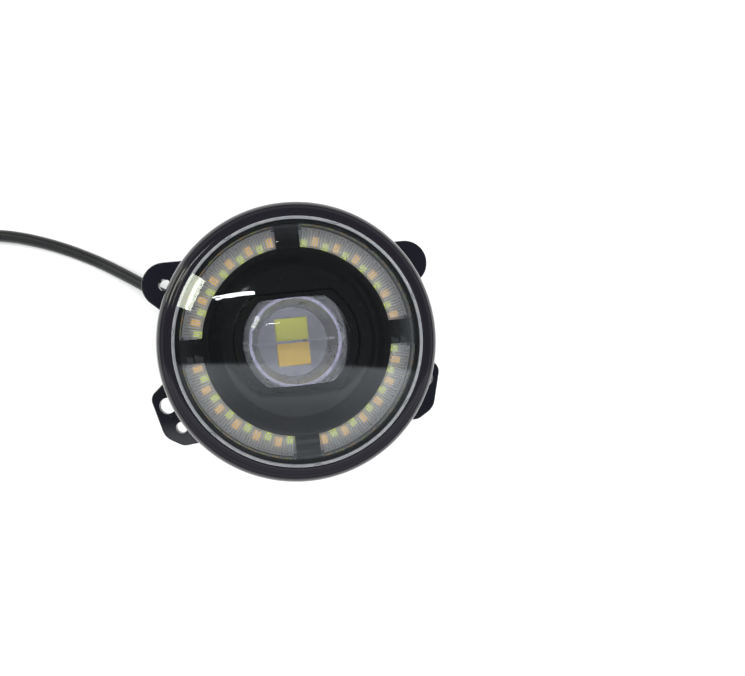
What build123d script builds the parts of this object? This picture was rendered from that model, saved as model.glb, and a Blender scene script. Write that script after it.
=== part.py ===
from build123d import *
import os
from math import atan2, cos, degrees, hypot, pi, radians, sin, tan

# A round LED projector fog lamp in its snap-in mounting bracket. Millimetres.
# The lamp stands on the back of its bracket: z = 0 is the bracket's rear face, +Z is the
# way the light shines, the tilt pivots lie along X and +Y is up on the vehicle.

# Clearances
running = 0.12  # radial, a shaft in its hole
body_gap = 0.3  # between pieces that move against each other
seat_gap = 0.1  # between pieces that are fitted together

# Bracket cup
cup_rear_r = 46.2  # outer radius, extended to the rear face
cup_rim_r = 49.9  # outer radius at the rim
cup_depth = 51.0
cup_wall = 2.5
cup_corner = 8.5
vent_length = 16.0
vent_width = 4.6
vent_pcr = 25.0
plate_t = 3.0  # ear plates, flush with the rim
edge_round = 0.6

# Ears: centres and sizes on the +X side, mirrored to the other
upper_hole = (56.0, 31.6)
upper_ear_r = 10.5
upper_hole_r = 2.75
lower_hole = (60.0, -23.3)
lower_hole_r = 3.7
lower_small_hole = (54.6, -33.8)
lower_small_hole_r = 2.6
lower_outline = (
    (44.0, -12.0, 1.0),
    (60.2, -12.2, 5.0),
    (67.6, -18.6, 5.0),
    (62.6, -37.6, 8.0),
    (54.5, -42.4, 6.0),
    (36.0, -40.6, 1.0),
    (34.0, -30.0, 1.0),
)
dimple_r = 1.1
dimple_depth = 0.5
gusset_reach = 10.0
gusset_t = 1.8
gusset_spread = 8.0
gusset_margin = 3.0  # between a gusset and the hole beyond it

# Tilt pivot
pivot_z = 45.5
post_r = 5.5
post_bore_r = 3.6
post_tip_x = 52.3
post_bore_depth = 7.0
tongue_r = 12.5
lead_in_width = 11.6
lead_in_depth = 1.1

# Lamp housing
neck_r = 44.0
neck_wall = 2.5
housing_rear_z = 32.0
housing_rear_r = 40.8
taper_top_z = 39.0
rear_flange_t = 4.5
rear_flange_inner_r = 33.0
shoulder_z = 75.5  # where the bezel starts
shoulder_t = 3.0
shoulder_r = 49.0
front_wall = 2.5
panel_half_width = 19.0
panel_depth = 0.6
lug_width = 13.0
lug_length = 4.0
lug_r = 46.6

# Bezel and outer lens
bezel_r = 52.5
bezel_front_z = 96.0
bezel_round = 6.0
bezel_lip_t = 1.7
bezel_window_r = 45.8
key_width = 10.0
key_r = 54.0
key_top_z = 85.0
lens_r = 45.5
lens_sag = 9.0
lens_t = 2.2
lens_flange_r = 48.9
gasket_t = 1.4

# Halo
halo_inner_r = 36.6
halo_outer_r = 44.3
guide_t = 4.3
spoke_width = 9.3
board_t = 1.6
led_gap = 1.2  # between the board's LEDs and the guide
led_size = (3.4, 2.4, 0.9)  # radial, tangential, high
leds_per_quarter = 12
led_pitch = 6.4  # degrees
amber_r = 40.4
white_r = 38.9
trim_rim_t = 1.6
trim_t = 1.5
trim_rise = 1.0  # the trim's face above the guides
dish_drop = 5.0
dish_floor_r = 29.5

# Projector
projector_r = 22.8
projector_flat = 17.3
projector_rim_t = 2.0
projector_sag = 7.0
projector_seat_z = 79.0
holder_wall = 1.7
ledge = 1.5
retainer_t = 1.0
pedestal_r = 24.5
pedestal_top_z = 54.0
holder_foot_t = 3.0
foot_inner_r = 18.0
emitter_board_r = 16.5
emitter_size = (10.0, 7.0, 0.8)
emitter_gap = 0.7
emitter_screw_x = 14.4
bowl_rear_r = 10.6
bowl_front_r = 15.2
bowl_foot_r = 16.2
bowl_depth = 15.0
bowl_wall = 1.2
shield_t = 0.8
shield_low = 2.4  # above the emitter board
shield_height = 8.0
screw_m25_r = 1.2
holder_head_r = 1.6
holder_head_t = 1.4

# Heat sink
sink_base_t = 4.0
sink_r = 40.5
fin_r = 33.0
fin_t = 2.0
fin_pitch = 6.0
fin_length = 15.5
sink_screw_pcr = 37.8
sink_screw_r = 1.2
sink_screw_head_r = 2.4
sink_screw_head_t = 2.2
seal_r = 34.9  # middle of the rear seal
seal_width = 1.8
seal_depth = 1.3
standoff_r = 2.5
standoff_pcr = 29.5
standoff_height = 6.0
driver_inner_r = 25.6
driver_margin = 2.7  # between the driver board and the neck's wall

# Aim adjuster
adjuster_y = -35.0
adjuster_r = 2.5
adjuster_head_r = 4.2
adjuster_head_t = 3.2
adjuster_sunk = 0.6  # the head's face above the rear plane
boss_r = 7.2
boss_top_z = 8.5
clip_r = 4.4
clip_t = 1.0
nut_z = 17.0
nut_size = (10.0, 9.0, 6.0)
nut_pin_r = 1.8
nut_pin_x = 9.6
cheek_t = 2.6
cheek_gap = 1.0  # beside the nut
cheek_end_y = -39.0
slot_clearance = 0.4
tilt_limit = 6.0  # degrees each way

# Cable
cable_r = 3.25
cable_angle = 154.0  # where it leaves the cup, about Z from +X
cable_z = 12.0
grommet_pad_r = 8.0
grommet_seat = 48.8  # radial distance of the pad's face
grommet_flange_r = 6.6
grommet_flange_t = 1.6
grommet_neck_r = 4.7
grommet_end = 60.5  # radial distance of the snout's tip
grommet_tip_r = 4.2
gland_reach = 24.0  # radial distance of the gland
gland_r = 5.6
gland_t = 6.0
gland_stem_r = 4.3
lead_bend = 8.4

# Connector on the cable's end
plug_width = 17.0
plug_height = 13.0
plug_length = 26.0
plug_boot_length = 13.0
plug_boot_r = 5.4
plug_mouth_r = 1.5
plug_rows = (3, 2)
plug_pitch = 4.4
plug_mouth_depth = 9.0
latch_width = 6.0
latch_t = 1.4
wedge_t = 1.8

ALIGN_LOW = (Align.CENTER, Align.CENTER, Align.MIN)


def disc(radius, low, high, x=0, y=0):
    return Pos(x, y, low) * Cylinder(radius, high - low, align=ALIGN_LOW)


def ring(outer, inner, low, high, x=0, y=0):
    return disc(outer, low, high, x, y) - disc(inner, low - 1, high + 1, x, y)


def block(x_range, y_range, z_range):
    size = [high - low for low, high in (x_range, y_range, z_range)]
    middle = [(low + high) / 2 for low, high in (x_range, y_range, z_range)]
    return Pos(*middle) * Box(*size)


def spun(*points):
    return revolve(make_face(Plane.XZ * Polyline(*points, close=True)), Axis.Z, 360)


def rod_x(radius, start, end, y, z):
    middle = (start + end) / 2
    return Pos(middle, y, z) * Rot(0, 90, 0) * Cylinder(radius, end - start)


def flatted(radius, flat, low, high):
    return disc(radius, low, high) & block((-radius, radius), (-flat, flat), (low, high))


def wedge_ring(outer, inner, low, high, start, end):
    """A ring's sector from one angle to another, in degrees, under half a turn."""
    reach = outer * 2
    corners = [(0, 0)]
    for angle in (start, (start + end) / 2, end):
        corners.append((reach * cos(radians(angle)), reach * sin(radians(angle))))
    sector = extrude(make_face(Polyline(*corners, close=True)), high - low)
    return ring(outer, inner, low, high) & (Pos(0, 0, low) * sector)


def joined(pieces):
    whole = pieces[0]
    for piece in pieces[1:]:
        whole = whole + piece
    return whole


def around(count, radius, first=0.0):
    for step in range(count):
        angle = radians(first + 360 * step / count)
        yield radius * cos(angle), radius * sin(angle)


def cone_r(z):
    return cup_rear_r + (cup_rim_r - cup_rear_r) * z / cup_depth


# Heights that follow from the sizes above
sink_base_z = housing_rear_z - sink_base_t
fin_end_z = sink_base_z - fin_length
halo_board_z = shoulder_z + shoulder_t
led_z = halo_board_z + board_t
guide_z = led_z + led_size[2] + led_gap
guide_top_z = guide_z + guide_t
trim_top_z = guide_top_z + trim_rise
bezel_lip_z = bezel_front_z - bezel_lip_t
lens_flange_top_z = bezel_lip_z - seat_gap
lens_flange_z = lens_flange_top_z - lens_t
gasket_z = lens_flange_z - gasket_t
driver_z = housing_rear_z + standoff_height
emitter_board_top_z = pedestal_top_z + board_t
projector_top_z = projector_seat_z + projector_rim_t
neck_inner_r = neck_r - neck_wall
driver_outer_r = neck_inner_r - driver_margin
driver_middle_r = (driver_inner_r + driver_outer_r) / 2
holder_screw_x = foot_inner_r + holder_head_r + seat_gap
cable_way = Rot(0, 0, cable_angle)


def ear_plates():
    low = cup_depth - plate_t
    x, y = upper_hole
    upper = make_hull(
        (Pos(x, y) * Circle(upper_ear_r)).edges()
        + (Pos(38.0, y + upper_ear_r - 1.0) * Circle(1.0)).edges()
        + (Pos(48.5, 12.0) * Circle(1.0)).edges()
    )
    corners = [point[:2] for point in lower_outline]
    rounds = [point[2] for point in lower_outline]
    lower = make_face(FilletPolyline(*corners, radius=rounds, close=True))
    plate = Pos(0, 0, low) * (extrude(upper, plate_t) + extrude(lower, plate_t))
    plate = fillet(plate.edges().filter_by(Axis.Z, reverse=True), edge_round)
    for (x, y), radius in (
        (upper_hole, upper_hole_r),
        (lower_hole, lower_hole_r),
        (lower_small_hole, lower_small_hole_r),
    ):
        plate -= disc(radius, low - 1, cup_depth + 1, x, y)
    for x, y in ((56.0, 36.6), (56.0, 26.6), (57.5, -29.0)):
        plate -= disc(dimple_r, cup_depth - dimple_depth, cup_depth + 1, x, y)
    return plate


def ear_gussets():
    """Hollow wedges behind the ears: two side ribs and the sloping web that joins them."""
    top = cup_depth - plate_t + 0.2
    low = top - gusset_reach
    ribs = []
    for (x, y), hole_r in ((upper_hole, upper_hole_r), (lower_hole, lower_hole_r)):
        reach = hypot(x, y) - hole_r - gusset_margin
        angle = degrees(atan2(y, x)) - (4.0 if y < 0 else -3.0)
        profile = make_face(
            Plane.XZ * Polyline((cone_r(low) - 1, low), (cone_r(low) - 1, top), (reach, top), close=True)
        )
        inner = make_face(
            Plane.XZ
            * Polyline(
                (cone_r(low) - 2, low + 2 * gusset_t),
                (cone_r(low) - 2, top - 1.2),
                (reach - 2 * gusset_t - 1.2, top - 1.2),
                close=True,
            )
        )
        wedge = extrude(profile, gusset_spread, both=True)
        hollow = extrude(inner, gusset_spread - gusset_t, both=True)
        ribs.append(Rot(0, 0, angle) * (wedge - hollow))
    return joined(ribs)


def make_bracket():
    top = pivot_z + tongue_r + 2
    outer = spun((0, 0), (cup_rear_r, 0), (cone_r(top), top), (0, top))
    outer = fillet(outer.edges().filter_by(GeomType.CIRCLE).sort_by(Axis.Z)[0], cup_corner)
    cavity = spun(
        (0, cup_wall), (cup_rear_r - cup_wall, cup_wall), (cone_r(top + 1) - cup_wall, top + 1), (0, top + 1)
    )
    cavity = fillet(cavity.edges().filter_by(GeomType.CIRCLE).sort_by(Axis.Z)[0], cup_corner - cup_wall)
    reach = cup_rim_r * 2
    kept = block((-reach, reach), (-reach, reach), (-1, cup_depth))
    kept += rod_x(tongue_r, -reach, reach, 0, pivot_z)
    body = outer & kept
    side = ear_plates() + ear_gussets()
    body += side + mirror(side, Plane.YZ)
    body += cable_way * Pos(grommet_seat - 6, 0, cable_z) * Rot(0, 90, 0) * Cylinder(
        grommet_pad_r, 6, align=ALIGN_LOW
    )
    body += block((-4, 4), (-cone_r(17) - 1.4, -cone_r(17) + 1), (14, 20))
    body -= cavity
    body += disc(boss_r, 0, boss_top_z, 0, adjuster_y)
    body -= disc(adjuster_r + running, -1, boss_top_z + 1, 0, adjuster_y)
    pocket_top = adjuster_sunk + adjuster_head_t + body_gap
    body -= disc(adjuster_head_r + body_gap, -1, pocket_top, 0, adjuster_y)
    body -= rod_x(post_r + running, -reach, reach, 0, pivot_z)
    inner_x = cone_r(pivot_z) - cup_wall
    for sign in (-1, 1):
        span = sorted((sign * (inner_x - 3), sign * (inner_x + lead_in_depth)))
        body -= block(span, (-lead_in_width / 2, lead_in_width / 2), (pivot_z, top + 1))
    for angle in (30, 90, 150, 210, 330):
        slot = extrude(SlotOverall(vent_length, vent_width), cup_wall + 2)
        body -= Rot(0, 0, angle) * Pos(vent_pcr, 0, -1) * slot
    body -= cable_way * Pos(grommet_seat - 10, 0, cable_z) * Rot(0, 90, 0) * Cylinder(
        grommet_neck_r + seat_gap, 14, align=ALIGN_LOW
    )
    return body


def make_grommet():
    wall_in = cone_r(cable_z) - cup_wall - 0.6
    seat = grommet_seat
    tip = grommet_end
    outline = spun(
        (cable_r, wall_in - 1.6),
        (grommet_neck_r + 0.05, wall_in - 1.6),
        (grommet_neck_r + 0.05, seat),
        (grommet_flange_r, seat),
        (grommet_flange_r, seat + grommet_flange_t),
        (grommet_neck_r + 0.6, seat + grommet_flange_t),
        (grommet_tip_r, tip),
        (cable_r, tip),
    )
    return cable_way * Pos(0, 0, cable_z) * Rot(0, 90, 0) * outline


def make_housing():
    inner_front = shoulder_r - front_wall
    body = spun(
        (rear_flange_inner_r, housing_rear_z),
        (housing_rear_r, housing_rear_z),
        (neck_r, taper_top_z),
        (neck_r, shoulder_z),
        (shoulder_r, shoulder_z),
        (shoulder_r, gasket_z),
        (inner_front, gasket_z),
        (inner_front, halo_board_z),
        (neck_inner_r, halo_board_z),
        (neck_inner_r, taper_top_z + 1),
        (housing_rear_r - neck_wall, housing_rear_z + rear_flange_t),
        (rear_flange_inner_r, housing_rear_z + rear_flange_t),
    )
    skin = ring(neck_r + 1, neck_r - panel_depth, cup_depth - 1, shoulder_z - lug_length)
    body -= skin & block((-60, 60), (-panel_half_width, panel_half_width), (0, 90))
    for sign in (-1, 1):
        span = sorted((sign * (neck_inner_r + 1), sign * post_tip_x))
        body += rod_x(post_r, *span, 0, pivot_z)
        bore = sorted((sign * (post_tip_x - post_bore_depth), sign * (post_tip_x + 1)))
        body -= rod_x(post_bore_r, *bore, 0, pivot_z)
        lug = sorted((sign * (neck_r - 1.5), sign * lug_r))
        body += block(lug, (-lug_width / 2, lug_width / 2), (shoulder_z - lug_length, shoulder_z))
    body += block((-5, 5), (neck_r - 1.5, neck_r + 4.0), (shoulder_z - 2.5, shoulder_z))
    body += block((-6, 6), (-52.0, -neck_r + 1.5), (shoulder_z - 3.5, shoulder_z))
    for x, y in around(4, sink_screw_pcr, 45):
        body -= disc(sink_screw_r + seat_gap / 2, housing_rear_z - 1, housing_rear_z + 4, x, y)
    return body


def make_bezel():
    inner = shoulder_r + seat_gap * 2
    arc_from = (bezel_r, bezel_front_z - bezel_round)
    arc_to = (bezel_r - bezel_round, bezel_front_z)
    profile = Polyline(arc_to, (bezel_window_r, bezel_front_z), (bezel_window_r, bezel_lip_z))
    profile += Polyline((bezel_window_r, bezel_lip_z), (inner, bezel_lip_z), (inner, shoulder_z))
    profile += Polyline((inner, shoulder_z), (bezel_r, shoulder_z), arc_from)
    profile += RadiusArc(arc_from, arc_to, -bezel_round)
    body = revolve(make_face(Plane.XZ * profile), Axis.Z, 360)
    key = block((-key_width / 2, key_width / 2), (-key_r, -inner - 0.5), (shoulder_z, key_top_z))
    return body + key


def dome(radius, sag, top, bottom):
    """A spherical cap of the given edge radius and sag, from its apex down to a flat base."""
    ball_r = (radius**2 + sag**2) / (2 * sag)
    ball = Pos(0, 0, top - ball_r) * Sphere(ball_r)
    return ball & disc(radius, bottom, top + 1)


def make_outer_lens():
    top = bezel_front_z + lens_sag
    outer = dome(lens_r, lens_sag, top, lens_flange_z)
    inner = dome(lens_r - lens_t, lens_sag - 0.6, top - lens_t, lens_flange_z - 1)
    flange = ring(lens_flange_r, lens_r - lens_t, lens_flange_z, lens_flange_top_z)
    return outer - inner + flange


def make_gasket():
    return ring(shoulder_r - seat_gap, shoulder_r - front_wall + seat_gap, gasket_z, lens_flange_z)


def make_trim():
    """The black inner trim: outer rim, four spokes between the guides and the central dish."""
    rim_outer = shoulder_r - front_wall - seat_gap * 2
    rim_inner = halo_outer_r + body_gap
    floor = trim_top_z - dish_drop
    wall_r = halo_inner_r - body_gap
    body = ring(rim_outer, rim_inner, led_z, trim_top_z + 2)
    body += spun(
        (wall_r, led_z),
        (wall_r, trim_top_z),
        (wall_r - trim_t, trim_top_z),
        (dish_floor_r, floor),
        (projector_flat, floor),
        (projector_flat, floor - trim_t),
        (dish_floor_r + 0.4, floor - trim_t),
        (wall_r - trim_t, floor + 0.6),
        (wall_r - trim_t, led_z),
    )
    half = spoke_width / 2
    arms = block((wall_r - 0.5, rim_inner + 0.5), (-half, half), (guide_z, trim_top_z))
    for turn in range(4):
        body += Rot(0, 0, 90 * turn) * arms
    window = flatted(
        projector_r + holder_wall + body_gap * 2,
        projector_flat + holder_wall + body_gap * 2,
        floor - 5,
        trim_top_z,
    )
    return body - window


def make_guide(quarter):
    """One quarter of the halo's clear light guide, bevelled along its inner and outer edges."""
    half_gap = degrees(atan2(spoke_width / 2 + body_gap, halo_inner_r))
    start = 90 * quarter + half_gap
    end = 90 * (quarter + 1) - half_gap
    body = wedge_ring(halo_outer_r, halo_inner_r, guide_z, guide_top_z, start, end)
    rims = body.edges().filter_by(GeomType.CIRCLE).group_by(Axis.Z)[-1]
    return chamfer(rims, 0.8)


def make_halo_board():
    outer = shoulder_r - front_wall - seat_gap * 2
    return ring(outer, halo_inner_r + 0.4, halo_board_z, led_z)


def make_leds(amber):
    radius = amber_r if amber else white_r
    chips = []
    for quarter in range(4):
        first = 90 * quarter + 45 - led_pitch * (leds_per_quarter - 1) / 2
        for step in range(0 if amber else 1, leds_per_quarter, 2):
            place = Rot(0, 0, first + led_pitch * step) * Pos(radius, 0, led_z)
            chips.append(place * Box(*led_size, align=ALIGN_LOW))
    return Compound(children=chips)


def make_projector_lens():
    top = projector_top_z + projector_sag
    body = dome(projector_r, projector_sag, top, projector_seat_z)
    return body & block((-30, 30), (-projector_flat, projector_flat), (0, top + 1))


def make_lens_holder():
    outer_r = projector_r + holder_wall
    outer_flat = projector_flat + holder_wall
    foot_top = pedestal_top_z + holder_foot_t
    body = disc(pedestal_r, pedestal_top_z, foot_top)
    body += flatted(outer_r, outer_flat, foot_top - 1, projector_top_z)
    body -= disc(foot_inner_r, pedestal_top_z - 1, foot_top + 1)
    body -= flatted(
        projector_r + seat_gap, projector_flat + seat_gap, projector_seat_z, projector_top_z + 1
    )
    body -= flatted(projector_r - ledge, projector_flat - ledge + 0.9, foot_top, projector_seat_z + 1)
    for x in (-1, 1):
        body -= disc(screw_m25_r + seat_gap, pedestal_top_z - 1, foot_top + 1, x * holder_screw_x, 0)
        body -= disc(holder_head_r + seat_gap, foot_top, foot_top + 2 * holder_head_t, x * holder_screw_x, 0)
    return body


def make_lens_retainer():
    outer = flatted(
        projector_r + holder_wall, projector_flat + holder_wall, projector_top_z, projector_top_z + retainer_t
    )
    flat = projector_flat + 0.05
    cap = dome(projector_r + 0.05, projector_sag, projector_top_z + projector_sag + 0.02, projector_top_z - 1)
    return outer - (cap & block((-30, 30), (-flat, flat), (0, bezel_front_z)))


def make_bowl():
    low = emitter_board_top_z
    high = low + bowl_depth
    body = spun(
        (bowl_rear_r, low),
        (bowl_foot_r, low),
        (bowl_foot_r, low + bowl_wall),
        (bowl_rear_r + bowl_wall + 0.4, low + bowl_wall),
        (bowl_front_r + bowl_wall, high),
        (bowl_front_r, high),
    )
    for x in (-1, 1):
        body -= disc(screw_m25_r + seat_gap, low - 1, low + bowl_wall + 0.1, x * emitter_screw_x, 0)
    return body


def bowl_r(z):
    return bowl_rear_r + (bowl_front_r - bowl_rear_r) * (z - emitter_board_top_z) / bowl_depth


def make_shield():
    low = emitter_board_top_z + shield_low
    high = low + shield_height
    sink_in = bowl_wall / 2
    profile = Polyline(
        (-bowl_r(low) - sink_in, low),
        (bowl_r(low) + sink_in, low),
        (bowl_r(high) + sink_in, high),
        (4.0, high),
        (2.6, high - 1.4),
        (-bowl_r(high - 1.4) - sink_in, high - 1.4),
        close=True,
    )
    return extrude(make_face(Plane.XZ * profile), shield_t / 2, both=True)


def make_emitter_board():
    body = disc(emitter_board_r, pedestal_top_z, emitter_board_top_z)
    for x in (-emitter_screw_x, emitter_screw_x):
        body -= disc(screw_m25_r + seat_gap, pedestal_top_z - 1, emitter_board_top_z + 1, x, 0)
    return body


def make_emitter(sign):
    width, height, thick = emitter_size
    middle = sign * (height + emitter_gap) / 2
    base = Pos(0, middle, emitter_board_top_z) * Box(width, height, thick, align=ALIGN_LOW)
    return chamfer(base.edges().group_by(Axis.Z)[-1], 0.2)


def screw(x, y, face_z, head_r, head_t, shank_r, length, up):
    """A pan-head screw with its head on face_z; up is 1 where the head is above the face."""
    if up > 0:
        shank = disc(shank_r, face_z - length, face_z, x, y)
        head = disc(head_r, face_z, face_z + head_t, x, y)
        socket = disc(head_r * 0.45, face_z + head_t * 0.45, face_z + head_t + 1, x, y)
    else:
        shank = disc(shank_r, face_z, face_z + length, x, y)
        head = disc(head_r, face_z - head_t, face_z, x, y)
        socket = disc(head_r * 0.45, face_z - head_t - 1, face_z - head_t * 0.45, x, y)
    return shank + head - socket


def make_holder_screws():
    face = pedestal_top_z + holder_foot_t
    places = (-holder_screw_x, holder_screw_x)
    sizes = (holder_head_r, holder_head_t, screw_m25_r, 8.0)
    return Compound(children=[screw(x, 0, face, *sizes, 1) for x in places])


def make_emitter_board_screws():
    face = emitter_board_top_z
    places = (-emitter_screw_x, emitter_screw_x)
    return Compound(children=[screw(x, 0, face + bowl_wall, 1.6, 1.2, screw_m25_r, 6.0, 1) for x in places])


def make_heat_sink():
    body = disc(sink_r, sink_base_z, housing_rear_z)
    body += disc(pedestal_r, housing_rear_z - 1, pedestal_top_z)
    for x, y in around(4, standoff_pcr, 45):
        body += disc(standoff_r, housing_rear_z - 1, driver_z, x, y)
    fins = []
    count = int((fin_r - fin_t) // fin_pitch)
    for step in range(-count, count + 1):
        middle = step * fin_pitch
        span = (middle - fin_t / 2, middle + fin_t / 2)
        fins.append(block(span, (-fin_r, fin_r), (fin_end_z, sink_base_z + 1)))
    stack = joined(fins) & disc(fin_r, fin_end_z, sink_base_z + 1)
    stack -= cable_way * block((gland_reach - 9, 60), (-9, 9), (0, sink_base_z))
    stack -= block((-14, 14), (-60, adjuster_y + nut_size[1] / 2 + 5), (0, sink_base_z))
    stack -= disc(8.0, 0, sink_base_z, 22.0, 13.0)
    body += stack
    body += make_cheeks()
    groove_outer = seal_r + seal_width / 2 + seat_gap
    groove_inner = seal_r - seal_width / 2 - seat_gap
    body -= ring(groove_outer, groove_inner, housing_rear_z - seal_depth, housing_rear_z + 0.5)
    for x, y in around(4, sink_screw_pcr, 45):
        body -= disc(sink_screw_r + 0.3, sink_base_z - 1, housing_rear_z + 1, x, y)
    for x, y in around(4, standoff_pcr, 45):
        body -= disc(screw_m25_r, driver_z - 5.0, driver_z + 1, x, y)
    for x in (-1, 1):
        body -= disc(screw_m25_r, pedestal_top_z - 7, pedestal_top_z + 1, x * holder_screw_x, 0)
        body -= disc(screw_m25_r, pedestal_top_z - 6, pedestal_top_z + 1, x * emitter_screw_x, 0)
    body -= cable_way * disc(gland_stem_r, sink_base_z - 1, pedestal_top_z, gland_reach + 4, 0) & disc(
        100, 0, housing_rear_z + 0.01
    )
    body -= disc(2.0, sink_base_z - 1, housing_rear_z - 1.4, 22.0, 13.0)
    return body


def make_cheeks():
    """The fork on the back of the heat sink that the adjuster's nut works in."""
    near = nut_size[0] / 2 + cheek_gap
    half = nut_pin_r + slot_clearance
    swing = (pivot_z - nut_z) * sin(radians(tilt_limit))
    slot_end = adjuster_y + swing + half + body_gap
    cheek = block(
        (near, near + cheek_t), (cheek_end_y, slot_end + 2), (nut_z - half - 1.8, sink_base_z + 1)
    )
    cheek -= block((near - 1, near + cheek_t + 1), (cheek_end_y - 1, slot_end), (nut_z - half, nut_z + half))
    return cheek + mirror(cheek, Plane.YZ)


def make_rear_seal():
    return ring(
        seal_r + seal_width / 2, seal_r - seal_width / 2, housing_rear_z - seal_depth, housing_rear_z
    )


def make_sink_screws():
    sizes = (sink_screw_head_r, sink_screw_head_t, sink_screw_r, sink_base_t + 3.5)
    places = around(4, sink_screw_pcr, 45)
    return Compound(children=[screw(x, y, sink_base_z, *sizes, -1) for x, y in places])


def make_driver_board():
    body = ring(driver_outer_r, driver_inner_r, driver_z, driver_z + board_t)
    for x, y in around(4, standoff_pcr, 45):
        body -= disc(screw_m25_r + seat_gap, driver_z - 1, driver_z + board_t + 1, x, y)
    return body


def make_driver_parts():
    top = driver_z + board_t
    room = (driver_outer_r - driver_inner_r) / 2
    coil = min(4.0, room - 0.6)
    can = min(3.2, room - 0.6)
    chip = min(2.0, room - 0.9)
    pieces = []
    for x, y in around(2, driver_middle_r, 0):
        pieces.append(block((x - coil, x + coil), (y - coil, y + coil), (top, top + 5.5)))
    for x, y in around(2, driver_middle_r, 90):
        pieces.append(disc(can, top, top + 9.0, x, y))
    for x, y in around(4, driver_middle_r, 22.5):
        pieces.append(block((x - chip, x + chip), (y - 2.5, y + 2.5), (top, top + 1.4)))
    return Compound(children=pieces)


def make_driver_screws():
    face = driver_z + board_t
    return Compound(
        children=[screw(x, y, face, 2.0, 1.5, screw_m25_r, 6.0, 1) for x, y in around(4, standoff_pcr, 45)]
    )


def make_vent_plug():
    cap = disc(4.6, sink_base_z - 2.6, sink_base_z, 22.0, 13.0)
    cap = fillet(cap.edges().group_by(Axis.Z)[0], 0.8)
    return cap + disc(1.9, sink_base_z - 0.5, housing_rear_z - 1.5, 22.0, 13.0)


def make_gland():
    low = sink_base_z - gland_t
    sides = RegularPolygon(gland_r, 6)
    body = Pos(0, 0, low + 1.5) * extrude(sides, gland_t - 1.5)
    body += disc(gland_r - 1.2, low, low + 2)
    body -= disc(cable_r + 0.02, low - 1, low + 2.0)
    return cable_way * Pos(gland_reach, 0, 0) * body


def make_inner_lead():
    start = sink_base_z - gland_t
    path = FilletPolyline(
        (gland_reach, 0, start), (gland_reach, 0, cable_z), (grommet_end, 0, cable_z), radius=lead_bend
    )
    profile = Plane(origin=path @ 0, z_dir=path % 0) * Circle(cable_r - 0.05)
    return cable_way * sweep(profile, path)


def make_adjuster_screw():
    head_z = adjuster_sunk
    shank_z = head_z + adjuster_head_t
    travel = abs(adjuster_y) * radians(tilt_limit)
    tip = nut_z + nut_size[2] / 2 + travel - 0.2
    body = disc(adjuster_head_r, head_z, shank_z, 0, adjuster_y)
    body += disc(adjuster_r, shank_z - 0.5, tip, 0, adjuster_y)
    socket = Pos(0, adjuster_y, head_z - 1) * extrude(RegularPolygon(2.3, 6), 1 + adjuster_head_t * 0.6)
    body -= socket
    clip_z = boss_top_z + body_gap
    body -= ring(adjuster_r + 1, adjuster_r - 0.5, clip_z, clip_z + clip_t, 0, adjuster_y)
    return chamfer(body.edges().group_by(Axis.Z)[-1], 0.5)


def make_adjuster_clip():
    clip_z = boss_top_z + body_gap
    body = ring(clip_r, adjuster_r - 0.45, clip_z, clip_z + clip_t, 0, adjuster_y)
    gap = block((-1.3, 1.3), (adjuster_y - clip_r - 1, adjuster_y), (clip_z - 1, clip_z + clip_t + 1))
    return body - gap


def make_adjuster_nut():
    x, y, z = nut_size
    body = block((-x / 2, x / 2), (adjuster_y - y / 2, adjuster_y + y / 2), (nut_z - z / 2, nut_z + z / 2))
    body = fillet(body.edges().filter_by(Axis.Z), 1.0)
    body += rod_x(nut_pin_r, -nut_pin_x, nut_pin_x, adjuster_y, nut_z)
    return body - disc(adjuster_r + running, 0, 40, 0, adjuster_y)


# The cable's free length lies on the surface the lamp stands on. It ends in a plug.
exit_x = grommet_end * cos(radians(cable_angle))
exit_y = grommet_end * sin(radians(cable_angle))
cable_points = [
    (exit_x, exit_y, cable_z),
    (exit_x * 1.26, exit_y * 1.26, cable_z),
    (-84.6, 44.6, 7.2),
    (-103.0, 56.2, 3.4),
    (-124.5, 66.6, 3.25),
    (-149.0, 74.4, 3.25),
    (-175.0, 76.2, 3.25),
    (-200.0, 70.0, 3.25),
    (-221.5, 56.4, 4.2),
    (-236.0, 36.0, 6.5),
    (-243.5, 13.6, 6.5),
]


def cable_radii():
    radii = []
    for before, here, after in zip(cable_points, cable_points[1:], cable_points[2:]):
        come = Vector(*here) - Vector(*before)
        leave = Vector(*after) - Vector(*here)
        half_turn = radians(come.get_angle(leave)) / 2
        radii.append(0.45 * min(come.length, leave.length) / tan(half_turn))
    return radii


def make_cable():
    radii = cable_radii()
    print("cable bend radii", [round(radius, 1) for radius in radii])
    path = FilletPolyline(*cable_points, radius=radii)
    profile = Plane(origin=path @ 0, z_dir=path % 0) * Circle(cable_r)
    tube = sweep(profile, path)
    print("cable length", round(path.length, 1))
    print("cable volume over area times length", round(tube.volume / (pi * cable_r**2 * path.length), 4))
    return tube


def plug_place():
    """A frame at the cable's end: its z runs on along the cable and its y points up."""
    end = Vector(*cable_points[-1])
    along = end - Vector(*cable_points[-2])
    flat = Vector(along.X, along.Y, 0)
    side = flat.cross(Vector(0, 0, 1)) * -1
    return Plane(origin=end, x_dir=side, z_dir=flat)


def make_plug_boot():
    tail = plug_boot_length * 0.7
    end = plug_boot_length
    sleeve = spun((0, 0), (cable_r + 0.7, 0), (plug_boot_r, tail), (plug_boot_r, end), (0, end))
    return plug_place() * sleeve


def plug_cells():
    columns, rows = plug_rows
    for column in range(columns):
        for row in range(rows):
            yield (column - (columns - 1) / 2) * plug_pitch, (row - (rows - 1) / 2) * plug_pitch


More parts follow.
